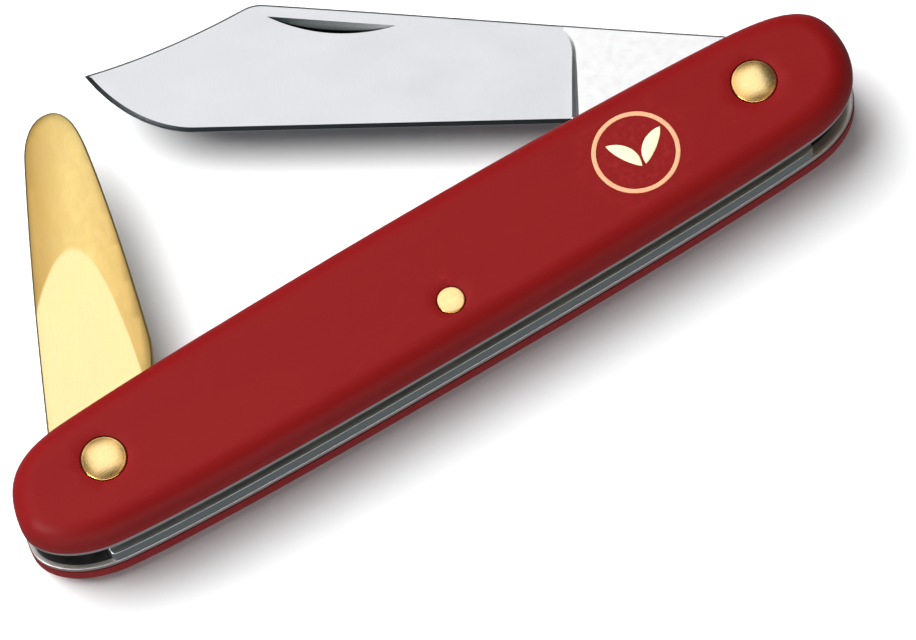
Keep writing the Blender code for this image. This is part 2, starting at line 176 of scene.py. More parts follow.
def inside(points, loop):
    x, y = points[:, 0], points[:, 1]
    result = np.zeros(len(points), bool)
    j = len(loop) - 1
    for i in range(len(loop)):
        xi, yi, xj, yj = loop[i][0], loop[i][1], loop[j][0], loop[j][1]
        crosses = (yi > y) != (yj > y)
        with np.errstate(divide="ignore", invalid="ignore"):
            at = (xj - xi) * (y - yi) / (yj - yi) + xi
        result ^= crosses & (x < at)
        j = i
    return result


def back_edge(inset, left, right):
    ring = handle_outline(inset)
    back = ring[ring[:, 1] < -3.0]
    back = back[np.argsort(-back[:, 0])]

    def at(x):
        return np.array([x, np.interp(x, back[::-1, 0], back[::-1, 1])])

    middle = back[(back[:, 0] > left + 0.15) & (back[:, 0] < right - 0.15)]
    return np.vstack([at(right), middle, at(left)])


def blade_lines():
    """The closed blade about its pivot, x along the blade and y to the spine: cutting edge, then clip, then spine."""
    heel = bezier((4.6, -TANG_R), (9.4, -4.75), (12.6, -1.35), (19.7, -1.5), 26)
    straight = np.linspace((19.7, -1.5), (60.0, -2.36), 60, endpoint=False)
    belly = bezier((60.0, -2.36), (64.6, -2.55), (69.4, 0.22), (72.6, 4.25), 44)
    clip = bezier((72.6, 4.25), (68.2, 5.51), (62.7, 7.56), (55.9, 11.57), 34)
    crown = bezier((55.9, 11.57), (54.9, 12.17), (54.2, 12.32), (53.2, 12.24), 12)
    spine = bezier((53.2, 12.24), (36.2, 10.98), (17.1, 9.15), (3.4, 8.2), 64)
    shoulder = np.linspace((3.4, 8.2), (3.0, TANG_R), 8, endpoint=False)
    tang = arc((0, 0), TANG_R, 90, 270, 64)
    tang = np.vstack([[(3.0, TANG_R)], tang])
    outline = np.vstack([heel, straight, belly, clip, crown, spine, shoulder, tang])
    edge = np.vstack([straight, belly, [(72.6, 4.25)]])
    return outline, edge


def lifter_outline():
    flat = math.radians(270 - LIFTER_CLOSED)
    foot = np.array([TANG_R * math.cos(flat), TANG_R * math.sin(flat)])
    along = np.array([math.cos(math.radians(-LIFTER_CLOSED)), math.sin(math.radians(-LIFTER_CLOSED))])
    rows = [
        np.linspace(foot, foot + along * 5.0, 8)[1:],
        np.linspace(foot + along * 5.0, (10.9, -5.76), 4, endpoint=False)[1:],
        bezier((10.9, -5.76), (12.3, -5.91), (13.75, -6.06), (15.4, -5.75), 16),
        bezier((15.4, -5.75), (22.3, -4.71), (30.4, -3.3), (37.6, -1.5), 40),
        bezier((37.6, -1.5), (40.0, -0.86), (42.4, 0.0), (42.5, 1.85), 26),
        bezier((42.5, 1.85), (42.55, 3.75), (40.6, 5.15), (37.1, 5.33), 26),
        bezier((37.1, 5.33), (28.6, 5.74), (18.5, 6.05), (3.6, 6.0), 44),
        np.array([(3.6, 6.0), (3.3, 5.45), (3.0, TANG_R)]),
        arc((0, 0), TANG_R, 90, 270 - LIFTER_CLOSED, 64),
    ]
    return np.vstack(rows)


def spring_outline(inset, anchored, free, side):
    end = free + side * SPRING_END
    far = anchored - side * LUG_R
    back = back_edge(inset, min(end, far), max(end, far))
    if side > 0:
        back = back[::-1]
    pin = SPRING_PIN
    last = back[-1]
    rows = [
        back[:-1],
        [(end - side * 0.5, last[1]), (end - side * 0.15, last[1] + 0.12), (end, last[1] + 0.5)],
        [(end, SPRING_FACE - 0.4), (end - side * 0.12, SPRING_FACE - 0.12), (end - side * 0.4, SPRING_FACE)],
        [(free - side * 4.5, SPRING_FACE)],
        bezier(
            (free - side * 9.0, -4.75),
            (free - side * 18.0, -4.6),
            (pin[0] + side * 8.0, -4.6),
            (pin[0] + side * 4.0, -4.1),
            22,
        ),
        arc(pin, SPRING_LUG_R, 20 if side > 0 else 160, 160 if side > 0 else 20, 24),
        bezier(
            (pin[0] - side * 4.0, -4.1),
            (pin[0] - side * 8.0, -4.7),
            (anchored + side * 16.0, -4.7),
            (anchored + side * 7.5, -4.5),
            22,
        ),
        bezier(
            (anchored + side * 7.5, -4.5),
            (anchored + side * 5.5, -4.4),
            (anchored + side * LUG_R, -3.4),
            (anchored + side * LUG_R, 0),
            14,
        ),
        arc((anchored, 0), LUG_R, 0 if side > 0 else 180, 180 if side > 0 else 0, 40),
    ]
    return np.vstack([np.array(r, float) for r in rows])


def leaf_outline(at, length, width, turn, steps=18):
    one = bezier((0, 0), (length * 0.25, width), (length * 0.75, width * 0.85), (length, 0), steps)
    two = bezier((length, 0), (length * 0.75, -width * 0.35), (length * 0.25, -width * 0.3), (0, 0), steps)
    p = np.vstack([one, two])
    c, s = math.cos(math.radians(turn)), math.sin(math.radians(turn))
    return np.stack([at[0] + p[:, 0] * c - p[:, 1] * s, at[1] + p[:, 0] * s + p[:, 1] * c], 1)


# ======================================================================== meshes
def mesh_object(name, verts, faces, looks, index=None, angle=28):
    mesh = bpy.data.meshes.new(name)
    mesh.from_pydata([tuple(v) for v in np.asarray(verts) * MM], [], [tuple(int(i) for i in f) for f in faces])
    for look in looks:
        mesh.materials.append(look)
    if index is not None:
        mesh.polygons.foreach_set("material_index", np.asarray(index, np.int32))
    bm = bmesh.new()
    bm.from_mesh(mesh)
    bmesh.ops.recalc_face_normals(bm, faces=bm.faces)
    bm.to_mesh(mesh)
    bm.free()
    mesh.shade_smooth()
    mesh.set_sharp_from_angle(angle=math.radians(angle))
    made = bpy.data.objects.new(name, mesh)
    scene.collection.objects.link(made)
    return made


def slab(name, outer, top, bottom, looks, holes=(), lines=(), grid=1.2, sort=None, angle=28, clear=0.5):
    """A solid between two height fields over a plane outline, with through holes.

    lines are (points, closed) that the mesh follows, so every fold and step in the heights is a real edge.
    sort gives each upper face its material from its middle point.
    """
    loops = [(np.asarray(outer), True)] + [(np.asarray(h), True) for h in holes]
    loops += [(np.asarray(p), c) for p, c in lines]
    points, edges = [], []
    for line, closed in loops:
        first = len(points)
        points += [tuple(p) for p in line]
        count = len(line)
        edges += [(first + i, first + (i + 1) % count) for i in range(count if closed else count - 1)]
    low, high = np.min(outer, 0), np.max(outer, 0)
    xs = np.arange(low[0] + grid / 2, high[0], grid)
    ys = np.arange(low[1] + grid / 2, high[1], grid * 0.866)
    net = np.array([(x + (grid / 2 if k % 2 else 0), y) for k, y in enumerate(ys) for x in xs])
    keep = inside(net, np.asarray(outer))
    for line, closed in loops:
        near = distance(net, line, closed)
        keep &= near > grid * clear
    for hole in holes:
        keep &= ~inside(net, np.asarray(hole))
    points += [tuple(p) for p in net[keep]]
    verts, _, tris, _, _, _ = delaunay_2d_cdt([Vector(p) for p in points], edges, [], 0, 1e-6)
    flat = np.array([(v.x, v.y) for v in verts])
    tris = np.array([tuple(t) for t in tris])
    middle = flat[tris].mean(1)
    use = inside(middle, np.asarray(outer))
    for hole in holes:
        use &= ~inside(middle, np.asarray(hole))
    a, b, c = (flat[tris[:, k]] for k in range(3))
    area = (b[:, 0] - a[:, 0]) * (c[:, 1] - a[:, 1]) - (b[:, 1] - a[:, 1]) * (c[:, 0] - a[:, 0])
    use &= np.abs(area) > 1e-9
    tris, middle, area = tris[use], middle[use], area[use]
    tris[area < 0] = tris[area < 0][:, ::-1]
    used = np.unique(tris)
    renumber = -np.ones(len(flat), int)
    renumber[used] = np.arange(len(used))
    flat, tris = flat[used], renumber[tris]
    count = len(flat)
    upper = np.c_[flat, top(flat)]
    lower = np.c_[flat, bottom(flat)]
    sides = {}
    for t in tris:
        for i in range(3):
            e = (int(t[i]), int(t[(i + 1) % 3]))
            if (e[1], e[0]) in sides:
                del sides[(e[1], e[0])]
            else:
                sides[e] = True
    faces = [tuple(t) for t in tris] + [tuple(t[::-1] + count) for t in tris]
    walls = [(b0, a0, a0 + count, b0 + count) for a0, b0 in sides]
    faces += walls
    index = None
    if sort is not None:
        own = np.asarray(sort(middle), int)
        index = np.r_[own, own, np.zeros(len(walls), int)]
    return mesh_object(name, np.vstack([upper, lower]), faces, looks, index, angle)


def lathe(name, profile, at, looks, steps=96, angle=30):
    """A turned solid or ring: a closed profile of (radius, z), or one that starts and ends on the axis."""
    profile = [tuple(p) for p in profile]
    on_axis = profile[0][0] < 1e-6
    verts, faces, rings = [], [], []
    for r, z in profile:
        if r < 1e-6:
            rings.append([len(verts)])
            verts.append((at[0], at[1], z))
        else:
            rings.append(list(range(len(verts), len(verts) + steps)))
            for k in range(steps):
                a = 2 * math.pi * k / steps
                verts.append((at[0] + r * math.cos(a), at[1] + r * math.sin(a), z))
    pairs = list(zip(rings, rings[1:])) if on_axis else list(zip(rings, rings[1:] + rings[:1]))
    for one, two in pairs:
        for k in range(steps):
            n = (k + 1) % steps
            if len(one) == 1:
                faces.append((one[0], two[n], two[k]))
            elif len(two) == 1:
                faces.append((one[k], one[n], two[0]))
            else:
                faces.append((one[k], one[n], two[n], two[k]))
    return mesh_object(name, verts, faces, looks, angle=angle)


def eased(edge, width, depth=None):
    """Height lost near an edge: a rounded break of the given width."""
    depth = width if depth is None else depth
    s = np.clip(1 - edge / width, 0, 1)
    return depth * (1 - np.sqrt(np.clip(1 - s * s, 0, 1)))


# ======================================================================== materials
class Graph:
    def __init__(self, name):
        self.made = bpy.data.materials.new(name)
        self.made.use_nodes = True
        self.nodes = self.made.node_tree.nodes
        self.links = self.made.node_tree.links
        self.shader = self.nodes["Principled BSDF"]

    def put(self, socket, value):
        if hasattr(value, "is_output"):
            self.links.new(value, socket)
        else:
            socket.default_value = value

    def set(self, **values):
        for key, value in values.items():
            self.put(self.shader.inputs[key.replace("_", " ")], value)

    def coords(self, scale=(1, 1, 1), turn=(0, 0, 0), shift=(0, 0, 0)):
        """Object coordinates in millimetres, turned, moved and stretched."""
        source = self.nodes.new("ShaderNodeTexCoord")
        turned = self.nodes.new("ShaderNodeMapping")
        turned.inputs["Scale"].default_value = (1000, 1000, 1000)
        turned.inputs["Rotation"].default_value = [math.radians(a) for a in turn]
        turned.inputs["Location"].default_value = shift
        self.links.new(source.outputs["Object"], turned.inputs["Vector"])
        stretched = self.nodes.new("ShaderNodeVectorMath")
        stretched.operation = "MULTIPLY"
        self.links.new(turned.outputs[0], stretched.inputs[0])
        stretched.inputs[1].default_value = scale
        return stretched.outputs[0]

    def noise(self, vector, scale=1.0, detail=3.0, rough=0.5, distortion=0.0):
        node = self.nodes.new("ShaderNodeTexNoise")
        self.links.new(vector, node.inputs["Vector"])
        node.inputs["Scale"].default_value = scale
        node.inputs["Detail"].default_value = detail
        node.inputs["Roughness"].default_value = rough
        node.inputs["Distortion"].default_value = distortion
        return node.outputs["Fac"]

    def cells(self, vector, scale=1.0, feature="DISTANCE_TO_EDGE"):
        node = self.nodes.new("ShaderNodeTexVoronoi")
        node.feature = feature
        self.links.new(vector, node.inputs["Vector"])
        node.inputs["Scale"].default_value = scale
        return node.outputs["Distance"]

    def ramp(self, value, low, high, out_low=0.0, out_high=1.0):
        node = self.nodes.new("ShaderNodeMapRange")
        node.clamp = True
        self.put(node.inputs["Value"], value)
        node.inputs["From Min"].default_value = low
        node.inputs["From Max"].default_value = high
        node.inputs["To Min"].default_value = out_low
        node.inputs["To Max"].default_value = out_high
        return node.outputs[0]

    def math(self, operation, a, b=0.0):
        node = self.nodes.new("ShaderNodeMath")
        node.operation = operation
        self.put(node.inputs[0], a)
        self.put(node.inputs[1], b)
        return node.outputs[0]

    def mix(self, fac, a, b, mode="MIX"):
        node = self.nodes.new("ShaderNodeMix")
        node.data_type = "RGBA"
        node.blend_type = mode
        self.put(node.inputs[0], fac)
        self.put(node.inputs[6], a if hasattr(a, "is_output") else (*a, 1.0))
        self.put(node.inputs[7], b if hasattr(b, "is_output") else (*b, 1.0))
        return node.outputs[2]

    def bump(self, height, distance_mm, strength=1.0, under=None):
        node = self.nodes.new("ShaderNodeBump")
        node.inputs["Strength"].default_value = strength
        node.inputs["Distance"].default_value = distance_mm * MM
        self.put(node.inputs["Height"], height)
        if under is not None:
            self.links.new(under, node.inputs["Normal"])
        return node.outputs[0]

    def edges(self, low=0.52, high=0.6):
        node = self.nodes.new("ShaderNodeNewGeometry")
        return self.ramp(node.outputs["Pointiness"], low, high)


def nylon():
    """Moulded red nylon: a fine satin grain, faint flow marks, hairline handling scratches and slightly rubbed edges."""
    g = Graph("red_nylon_moulded")
    plain = g.coords()
    grain = g.noise(plain, 7.0, 4.0, 0.6)
    fine = g.noise(plain, 22.0, 2.0, 0.5)
    flow = g.noise(g.coords((0.05, 0.22, 0.22)), 1.0, 3.0, 0.55, 0.6)
    scratch_a = g.noise(g.coords((0.16, 9.0, 9.0), (0, 0, 17)), 1.0, 2.0, 0.5)
    scratch_b = g.noise(g.coords((0.2, 11.0, 11.0), (0, 0, -31)), 1.0, 2.0, 0.5)
    marks = g.math("MAXIMUM", g.ramp(scratch_a, 0.70, 0.76), g.ramp(scratch_b, 0.72, 0.78))
    colour = g.mix(g.ramp(flow, 0.3, 0.7), (0.167, 0.0032, 0.0038), (0.176, 0.0040, 0.0046))
    colour = g.mix(g.ramp(grain, 0.35, 0.7, 0.0, 0.22), colour, (0.148, 0.0026, 0.0032))
    colour = g.mix(g.math("MULTIPLY", marks, 0.22), colour, (0.40, 0.035, 0.035))
    worn = g.math("MULTIPLY", g.edges(0.515, 0.60), g.ramp(g.noise(plain, 1.6, 4.0, 0.6), 0.42, 0.62))
    colour = g.mix(g.math("MULTIPLY", worn, 0.25), colour, (0.36, 0.025, 0.025))
    rough = g.math("ADD", g.ramp(fine, 0.25, 0.75, 0.40, 0.52), g.math("MULTIPLY", marks, 0.12))
    g.set(Base_Color=colour, Roughness=rough, Specular_IOR_Level=0.11)
    g.set(Normal=g.bump(fine, 0.012, 0.35, g.bump(grain, 0.03, 0.30)))
    return g.made


def ground_steel():
    """The blade's ground faces: fine cross-ground lines from edge to spine, with a few longer strokes."""
    g = Graph("blade_steel_ground")
    lines = g.noise(g.coords((14.0, 0.18, 14.0), (0, 0, BLADE_OPEN)), 1.0, 4.0, 0.6)
    fine = g.noise(g.coords((42.0, 0.5, 42.0), (0, 0, BLADE_OPEN)), 1.0, 2.0, 0.5)
    haze = g.noise(g.coords((0.14, 0.3, 0.3), (0, 0, BLADE_OPEN)), 1.0, 3.0, 0.5, 0.4)
    colour = g.mix(g.ramp(lines, 0.3, 0.7), (0.680, 0.690, 0.712), (0.715, 0.724, 0.744))
    colour = g.mix(g.ramp(haze, 0.35, 0.7, 0.0, 0.35), colour, (0.67, 0.685, 0.71))
    rough = g.math("ADD", g.ramp(haze, 0.3, 0.7, 0.29, 0.32), g.ramp(fine, 0.3, 0.7, 0.0, 0.05))
    g.set(Base_Color=colour, Metallic=1.0, Roughness=rough)
    g.set(Normal=g.bump(fine, 0.0008, 0.5, g.bump(lines, 0.0016, 0.5)))
    return g.made


def tang_steel():
    """The blade's unground tang: rolled and lightly glazed, with faint lengthwise lines."""
    g = Graph("blade_steel_tang")
    lines = g.noise(g.coords((0.2, 16.0, 16.0), (0, 0, BLADE_OPEN)), 1.0, 3.0, 0.55)
    spots = g.noise(g.coords(), 1.1, 5.0, 0.6)
    colour = g.mix(g.ramp(lines, 0.3, 0.7), (0.900, 0.905, 0.910), (0.950, 0.952, 0.955))
    colour = g.mix(g.ramp(spots, 0.5, 0.75, 0.0, 0.25), colour, (0.84, 0.85, 0.86))
    rough = g.math("ADD", g.ramp(spots, 0.3, 0.7, 0.30, 0.36), g.ramp(lines, 0.3, 0.7, 0.0, 0.05))
    g.set(Base_Color=colour, Metallic=1.0, Roughness=rough)
    g.set(Normal=g.bump(lines, 0.002, 0.5))
    return g.made


def honed_steel():
    """The narrow honed bevel along the cutting edge, its steel painted dark as a painted reflection of dark
    surroundings.
    """
    g = Graph("blade_steel_honed_painted_reflection")
    lines = g.noise(g.coords((24.0, 1.5, 24.0), (0, 0, BLADE_OPEN)), 1.0, 3.0, 0.6)
    # Painted reflection: the bevel's steel is darkened to show a dark reflection.
    colour = g.mix(g.ramp(lines, 0.3, 0.7), (0.13, 0.15, 0.16), (0.20, 0.22, 0.235))
    g.set(Base_Color=colour, Metallic=1.0, Roughness=g.ramp(lines, 0.3, 0.7, 0.16, 0.26))
    g.set(Normal=g.bump(lines, 0.003, 0.5))
    return g.made


def nick_steel():
    """The nail nick's walls: grey steel with painted shade standing in for the shade of its steep walls, darkest at its
    foot and at its tip end.
    """
    g = Graph("blade_steel_nick_painted_shade")
    # Along the blade from the tip, and down from the nick's straight side, both in mm
    turned = math.radians(BLADE_OPEN)
    shift = (-BLADE_PIVOT[0] * math.cos(turned), -BLADE_PIVOT[0] * math.sin(turned), 0)
    split = g.nodes.new("ShaderNodeSeparateXYZ")
    g.links.new(g.coords((1, 1, 1), (0, 0, BLADE_OPEN), shift), split.inputs[0])
    fall = g.math("MULTIPLY", g.math("ADD", split.outputs[0], 53.0), 0.083)
    down = g.math("SUBTRACT", g.math("SUBTRACT", 10.86, fall), split.outputs[1])
    lines = g.noise(g.coords((0.5, 26.0, 26.0), (0, 0, BLADE_OPEN)), 1.0, 3.0, 0.6)
    # Painted shade: near black at the nick's tip end, turning grey along it.
    upper = g.mix(g.ramp(split.outputs[0], -50.8, -40.2), (0.012, 0.017, 0.017), (0.42, 0.44, 0.45))
    upper = g.mix(g.ramp(lines, 0.35, 0.65, 0.0, 0.5), upper, (0.05, 0.06, 0.062))
    # Painted shade: near black from the nick's foot to its curved side.
    colour = g.mix(g.ramp(down, 0.35, 1.05), upper, (0.010, 0.014, 0.014))
    g.set(Base_Color=colour, Metallic=1.0, Roughness=g.ramp(lines, 0.3, 0.7, 0.34, 0.44))
    g.set(Specular_Tint=(0.25, 0.26, 0.26, 1.0))
    g.set(Normal=g.bump(lines, 0.004, 0.5))
    return g.made


def spring_steel(name="spring_steel_ground", share=1.0):
    """The back springs: ground along the handle, painted a little darker than the blade as shade; the sunk one is
    painted near black as the shade of its slot.
    """
    g = Graph(name)
    lines = g.noise(g.coords((0.16, 13.0, 13.0)), 1.0, 4.0, 0.6)
    patches = g.noise(g.coords((0.25, 0.8, 0.8)), 1.0, 4.0, 0.6, 0.5)
    colour = g.mix(g.ramp(lines, 0.3, 0.72), (0.31, 0.345, 0.35), (0.45, 0.48, 0.485))
    colour = g.mix(g.ramp(patches, 0.45, 0.75, 0.0, 0.5), colour, (0.27, 0.27, 0.265))
    # Painted shade: a share below 1 darkens the colour toward near black.
    colour = g.mix(1.0 - share, colour, (0.012, 0.014, 0.015))
    rough = g.ramp(patches, 0.3, 0.7, 0.28, 0.42)
    g.set(Base_Color=colour, Metallic=1.0, Roughness=rough)
    g.set(Normal=g.bump(lines, 0.004, 0.6))
    return g.made


def liner_metal(name="liner_sheet", share=1.0):
    """Sheet liners: pale metal with sheared edges, faintly scratched and dulled in patches; their faces painted darker
    as the shade between the layers.
    """
    g = Graph(name)
    lines = g.noise(g.coords((0.3, 9.0, 18.0), (0, 0, 8)), 1.0, 4.0, 0.6)
    patches = g.noise(g.coords(), 0.7, 4.0, 0.6)
    colour = g.mix(g.ramp(lines, 0.3, 0.7), (0.62, 0.585, 0.57), (0.78, 0.74, 0.72))
    colour = g.mix(g.ramp(patches, 0.5, 0.8, 0.0, 0.4), colour, (0.50, 0.49, 0.47))
    # Painted shade: a share below 1 darkens the colour toward near black.
    colour = g.mix(1.0 - share, colour, (0.012, 0.014, 0.015))
    g.set(Base_Color=colour, Metallic=1.0, Roughness=g.ramp(patches, 0.3, 0.7, 0.30, 0.42))
    g.set(Normal=g.bump(lines, 0.005, 0.5))
    return g.made


def brass_flat():
    """The bark lifter: a polished flat, and a rounded tip dressed with a file in a warmer gold, with shade painted
    deeper toward its sides.
    """
    g = Graph("brass_polished")
    turn = (0, 0, -LIFTER_OPEN)
    lines = g.noise(g.coords((0.22, 15.0, 15.0), turn), 1.0, 4.0, 0.6)
    haze = g.noise(g.coords((0.12, 0.3, 0.3), turn), 1.0, 4.0, 0.55, 0.6)
    spots = g.noise(g.coords(), 2.6, 4.0, 0.65)
    c, s = math.cos(math.radians(LIFTER_OPEN)), math.sin(math.radians(LIFTER_OPEN))
    home = (-LIFTER_PIVOT[0] * c + LIFTER_PIVOT[1] * s, LIFTER_PIVOT[0] * s - LIFTER_PIVOT[1] * c, 0)
    split = g.nodes.new("ShaderNodeSeparateXYZ")
    g.links.new(g.coords((1, 1, 1), turn, home), split.inputs[0])
    along, across = split.outputs[0], split.outputs[1]
    off = g.math("SUBTRACT", across, 1.27)
    bend = g.math("MULTIPLY", g.math("MULTIPLY", off, off), g.ramp(off, -0.5, 0.5, 0.44, 0.335))
    past = g.math("ADD", g.math("SUBTRACT", along, 25.75), bend)
    tip = g.ramp(g.math("ADD", past, g.math("MULTIPLY", g.math("SUBTRACT", haze, 0.5), 0.8)), -0.15, 0.45)
    gold = g.mix(g.ramp(haze, 0.3, 0.7), (0.94, 0.740, 0.360), (0.95, 0.775, 0.405))
    # Painted shade: the tip's gold darkens strongly toward one side and a little toward the other, where its rounded
    # sides turn from the light.
    tip_gold_shaded = g.mix(g.ramp(across, 1.0, 4.4), (0.97, 0.735, 0.275), (0.61, 0.370, 0.095))
    tip_gold_shaded = g.mix(g.ramp(across, -0.6, -4.0), tip_gold_shaded, (0.90, 0.600, 0.200))
    tip_gold_shaded = g.mix(g.ramp(haze, 0.35, 0.7, 0.0, 0.35), tip_gold_shaded, (0.96, 0.720, 0.300))
    blotch = g.noise(g.coords((0.45, 0.9, 0.9), turn), 1.0, 5.0, 0.65, 0.8)
    tip_gold_shaded = g.mix(g.ramp(blotch, 0.42, 0.68, 0.0, 0.30), tip_gold_shaded, (0.72, 0.470, 0.140))
    colour = g.mix(tip, gold, tip_gold_shaded)
    colour = g.mix(g.ramp(lines, 0.3, 0.7, 0.0, 0.22), colour, (0.86, 0.60, 0.24))
    colour = g.mix(g.ramp(spots, 0.62, 0.85, 0.0, 0.18), colour, (0.74, 0.50, 0.20))
    rough = g.math("ADD", g.ramp(haze, 0.3, 0.7, 0.23, 0.30), g.math("MULTIPLY", tip, 0.09))
    g.set(Base_Color=colour, Metallic=1.0, Roughness=rough)
    g.set(Normal=g.bump(lines, 0.0014, 0.5))
    return g.made


def brass_turned():
    """Rivet heads: turned and polished brass, with fine scratches every way, and shade painted darker orange on the
    tilted rim of each dome.
    """
    g = Graph("brass_rivet")
    plain = g.coords()
    one = g.noise(g.coords((1.2, 22.0, 8.0), (0, 0, 40)), 1.0, 3.0, 0.6)
    two = g.noise(g.coords((1.2, 22.0, 8.0), (0, 0, -25)), 1.0, 3.0, 0.6)
    dents = g.noise(plain, 2.2, 3.0, 0.5)
    colour = g.mix(g.ramp(dents, 0.3, 0.7), (0.97, 0.70, 0.30), (0.99, 0.76, 0.38))
    colour = g.mix(g.ramp(one, 0.55, 0.75, 0.0, 0.3), colour, (0.88, 0.54, 0.18))
    face = g.nodes.new("ShaderNodeTexCoord")
    tilt = g.nodes.new("ShaderNodeSeparateXYZ")
    g.links.new(face.outputs["Normal"], tilt.inputs[0])
    # Painted shade: where the dome's face tilts away from straight up, the colour turns a darker orange.
    rim_shade = g.math("MULTIPLY", g.ramp(g.math("ABSOLUTE", tilt.outputs[2]), 0.992, 0.965), g.ramp(dents, 0.3, 0.7, 0.75, 1.0))
    colour = g.mix(rim_shade, colour, (0.80, 0.400, 0.085))
    g.set(Base_Color=colour, Metallic=1.0, Roughness=g.ramp(two, 0.3, 0.7, 0.20, 0.30))
    g.set(Normal=g.bump(one, 0.0016, 0.5, g.bump(dents, 0.012, 0.5)))
    return g.made


def cream_inlay():
    """The inlaid mark: satin cream plastic, a little mottled and rubbed."""
    g = Graph("emblem_inlay")
    plain = g.coords()
    mottle = g.noise(plain, 3.0, 4.0, 0.6)
    fine = g.noise(plain, 24.0, 2.0, 0.5)
    colour = g.mix(g.ramp(mottle, 0.3, 0.7), (0.74, 0.29, 0.15), (0.82, 0.36, 0.20))
    g.set(Base_Color=colour, Roughness=g.ramp(fine, 0.3, 0.7, 0.40, 0.55), Specular_IOR_Level=0.35)
    g.set(Normal=g.bump(fine, 0.006, 0.4))
    return g.made


def leaf_inlay():
    g = Graph("emblem_leaf")
    plain = g.coords()
    mottle = g.noise(plain, 3.0, 4.0, 0.6)
    fine = g.noise(plain, 24.0, 2.0, 0.5)
    colour = g.mix(g.ramp(mottle, 0.3, 0.7), (0.84, 0.64, 0.40), (0.88, 0.72, 0.48))
    g.set(Base_Color=colour, Roughness=g.ramp(fine, 0.3, 0.7, 0.40, 0.55), Specular_IOR_Level=0.35)
    g.set(Normal=g.bump(fine, 0.006, 0.4))
    return g.made


def paper():
    g = Graph("studio_floor")
    fibres = g.noise(g.coords((0.02, 0.02, 0.02)), 1.0, 4.0, 0.6)
    colour = g.mix(g.ramp(fibres, 0.3, 0.7), (0.900, 0.905, 0.910), (0.915, 0.918, 0.922))
    g.set(Base_Color=colour, Roughness=0.9, Specular_IOR_Level=0.0)
    return g.made


RED = nylon()
GROUND, TANG, HONED_DARK_REFLECTION, NICK_SHADED = ground_steel(), tang_steel(), honed_steel(), nick_steel()
# The sunk spring's near black colour is painted shade.
SPRING, SPRING_SUNK_SHADED = spring_steel(), spring_steel("spring_steel_sunk_painted_shade", 0.045)
# The liners' faces get painted shade.
LINER, LINER_FACE_SHADED = liner_metal(), liner_metal("liner_sheet_face_painted_shade", 0.16)
BRASS, RIVET = brass_flat(), brass_turned()
CREAM, LEAF = cream_inlay(), leaf_inlay()


def place(piece, node, body):
    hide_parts(node)
    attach(piece, body)
    return piece


PINS = (
    (BLADE_PIVOT, END_PIN_R, END_HEAD_R, "blade"),
    (LIFTER_PIVOT, END_PIN_R, END_HEAD_R, "lifter"),
    (SPRING_PIN, SPRING_PIN_R, SPRING_HEAD_R, "spring"),
)

LEAVES = (("left", (-0.25, -1.7), 118, -1.6), ("right", (0.25, -1.7), 40, 1.6))


# ======================================================================== scales
def sunk(points, value, loop_distance, is_inside, depth, wall=0.03):
    """Lowers the heights inside a loop, with a steep wall of the given width."""
    value = np.array(value)
    fall = np.where(is_inside, np.clip(loop_distance / wall, 0, 1), 0.0)
    return value - fall * depth


outline = handle_outline()


def scale_rings(rounding):
    rings = []
    for angle in (12, 24, 36, 48, 58, 68, 78, 90):
        rings.append((offset(outline, rounding * (1 - math.cos(math.radians(angle)))), True))
    rings.append((offset(outline, rounding + 0.2), True))
    return rings


leaf_seats = []
for _, foot, turn, width in LEAVES:
    own = leaf_outline((EMBLEM_AT[0] + foot[0], EMBLEM_AT[1] + foot[1]), 4.5, width, turn)
    middle = own.mean(0)
    away = own - middle
    grown = own + away / np.linalg.norm(away, axis=1)[:, None] * 0.05
    if width < 0:
        grown = grown[::-1]
    leaf_seats.append(grown)

seat_lines = []
for at, pin_r, head_r, _ in PINS:
    seat_lines.append((circle(at, head_r + SEAT_GAP + 0.06), True))
    seat_lines.append((circle(at, head_r + SEAT_GAP), True))
    seat_lines.append((circle(at, head_r + SEAT_GAP - 0.03), True))
ring_lines = [
    (circle(EMBLEM_AT, EMBLEM_R + 0.04, 96), True),
    (circle(EMBLEM_AT, EMBLEM_R + 0.01, 96), True),
    (circle(EMBLEM_AT, EMBLEM_R - EMBLEM_LINE - 0.01, 96), True),
    (circle(EMBLEM_AT, EMBLEM_R - EMBLEM_LINE - 0.04, 96), True),
]
leaf_lines = [(grown, True) for grown in leaf_seats]
leaf_lines += [(offset(grown, 0.03), True) for grown in leaf_seats]


def scale_face(rounding, emblem):
    def height_lost(p):
        edge = distance(p, outline)
        s = np.clip(1 - edge / rounding, 0, 1)
        lost = rounding * (1 - np.sqrt(np.clip(1 - s * s, 0, 1)))
        for at, _, head_r, _ in PINS:
            r = np.linalg.norm(p - np.array(at), axis=1)
            seat = head_r + SEAT_GAP
            lost += np.clip((seat + 0.06 - r) / 0.06, 0, 1) * 0.035
            lost += np.clip((seat - r) / 0.03, 0, 1) * (HEAD_SEAT - 0.03)
        if emblem:
            r = np.linalg.norm(p - np.array(EMBLEM_AT), axis=1)
            outer = np.clip((EMBLEM_R + 0.04 - r) / 0.03, 0, 1)
            inner = np.clip((r - (EMBLEM_R - EMBLEM_LINE - 0.04)) / 0.03, 0, 1)
            lost += outer * inner * (EMBLEM_DEPTH - 0.02)
            for grown in leaf_seats:
                lost += np.where(inside(p, grown), np.clip(distance(p, grown) / 0.03, 0, 1), 0.0) * (EMBLEM_DEPTH - 0.02)
        return lost

    return height_lost


pin_holes = [circle(at, pin_r + PIN_GAP, 48) for at, pin_r, _, _ in PINS]
front_lost = scale_face(FRONT_ROUND, True)
front_scale = slab(
    "front_scale_nylon",
    outline,
    lambda p: TOP - front_lost(p),
    lambda p: np.full(len(p), Z_FRONT_SCALE[0]),
    [RED],
    holes=pin_holes,
    lines=scale_rings(FRONT_ROUND) + seat_lines + ring_lines + leaf_lines,
    grid=1.3,
    angle=32,
)
place(front_scale, "front_scale", "handle")

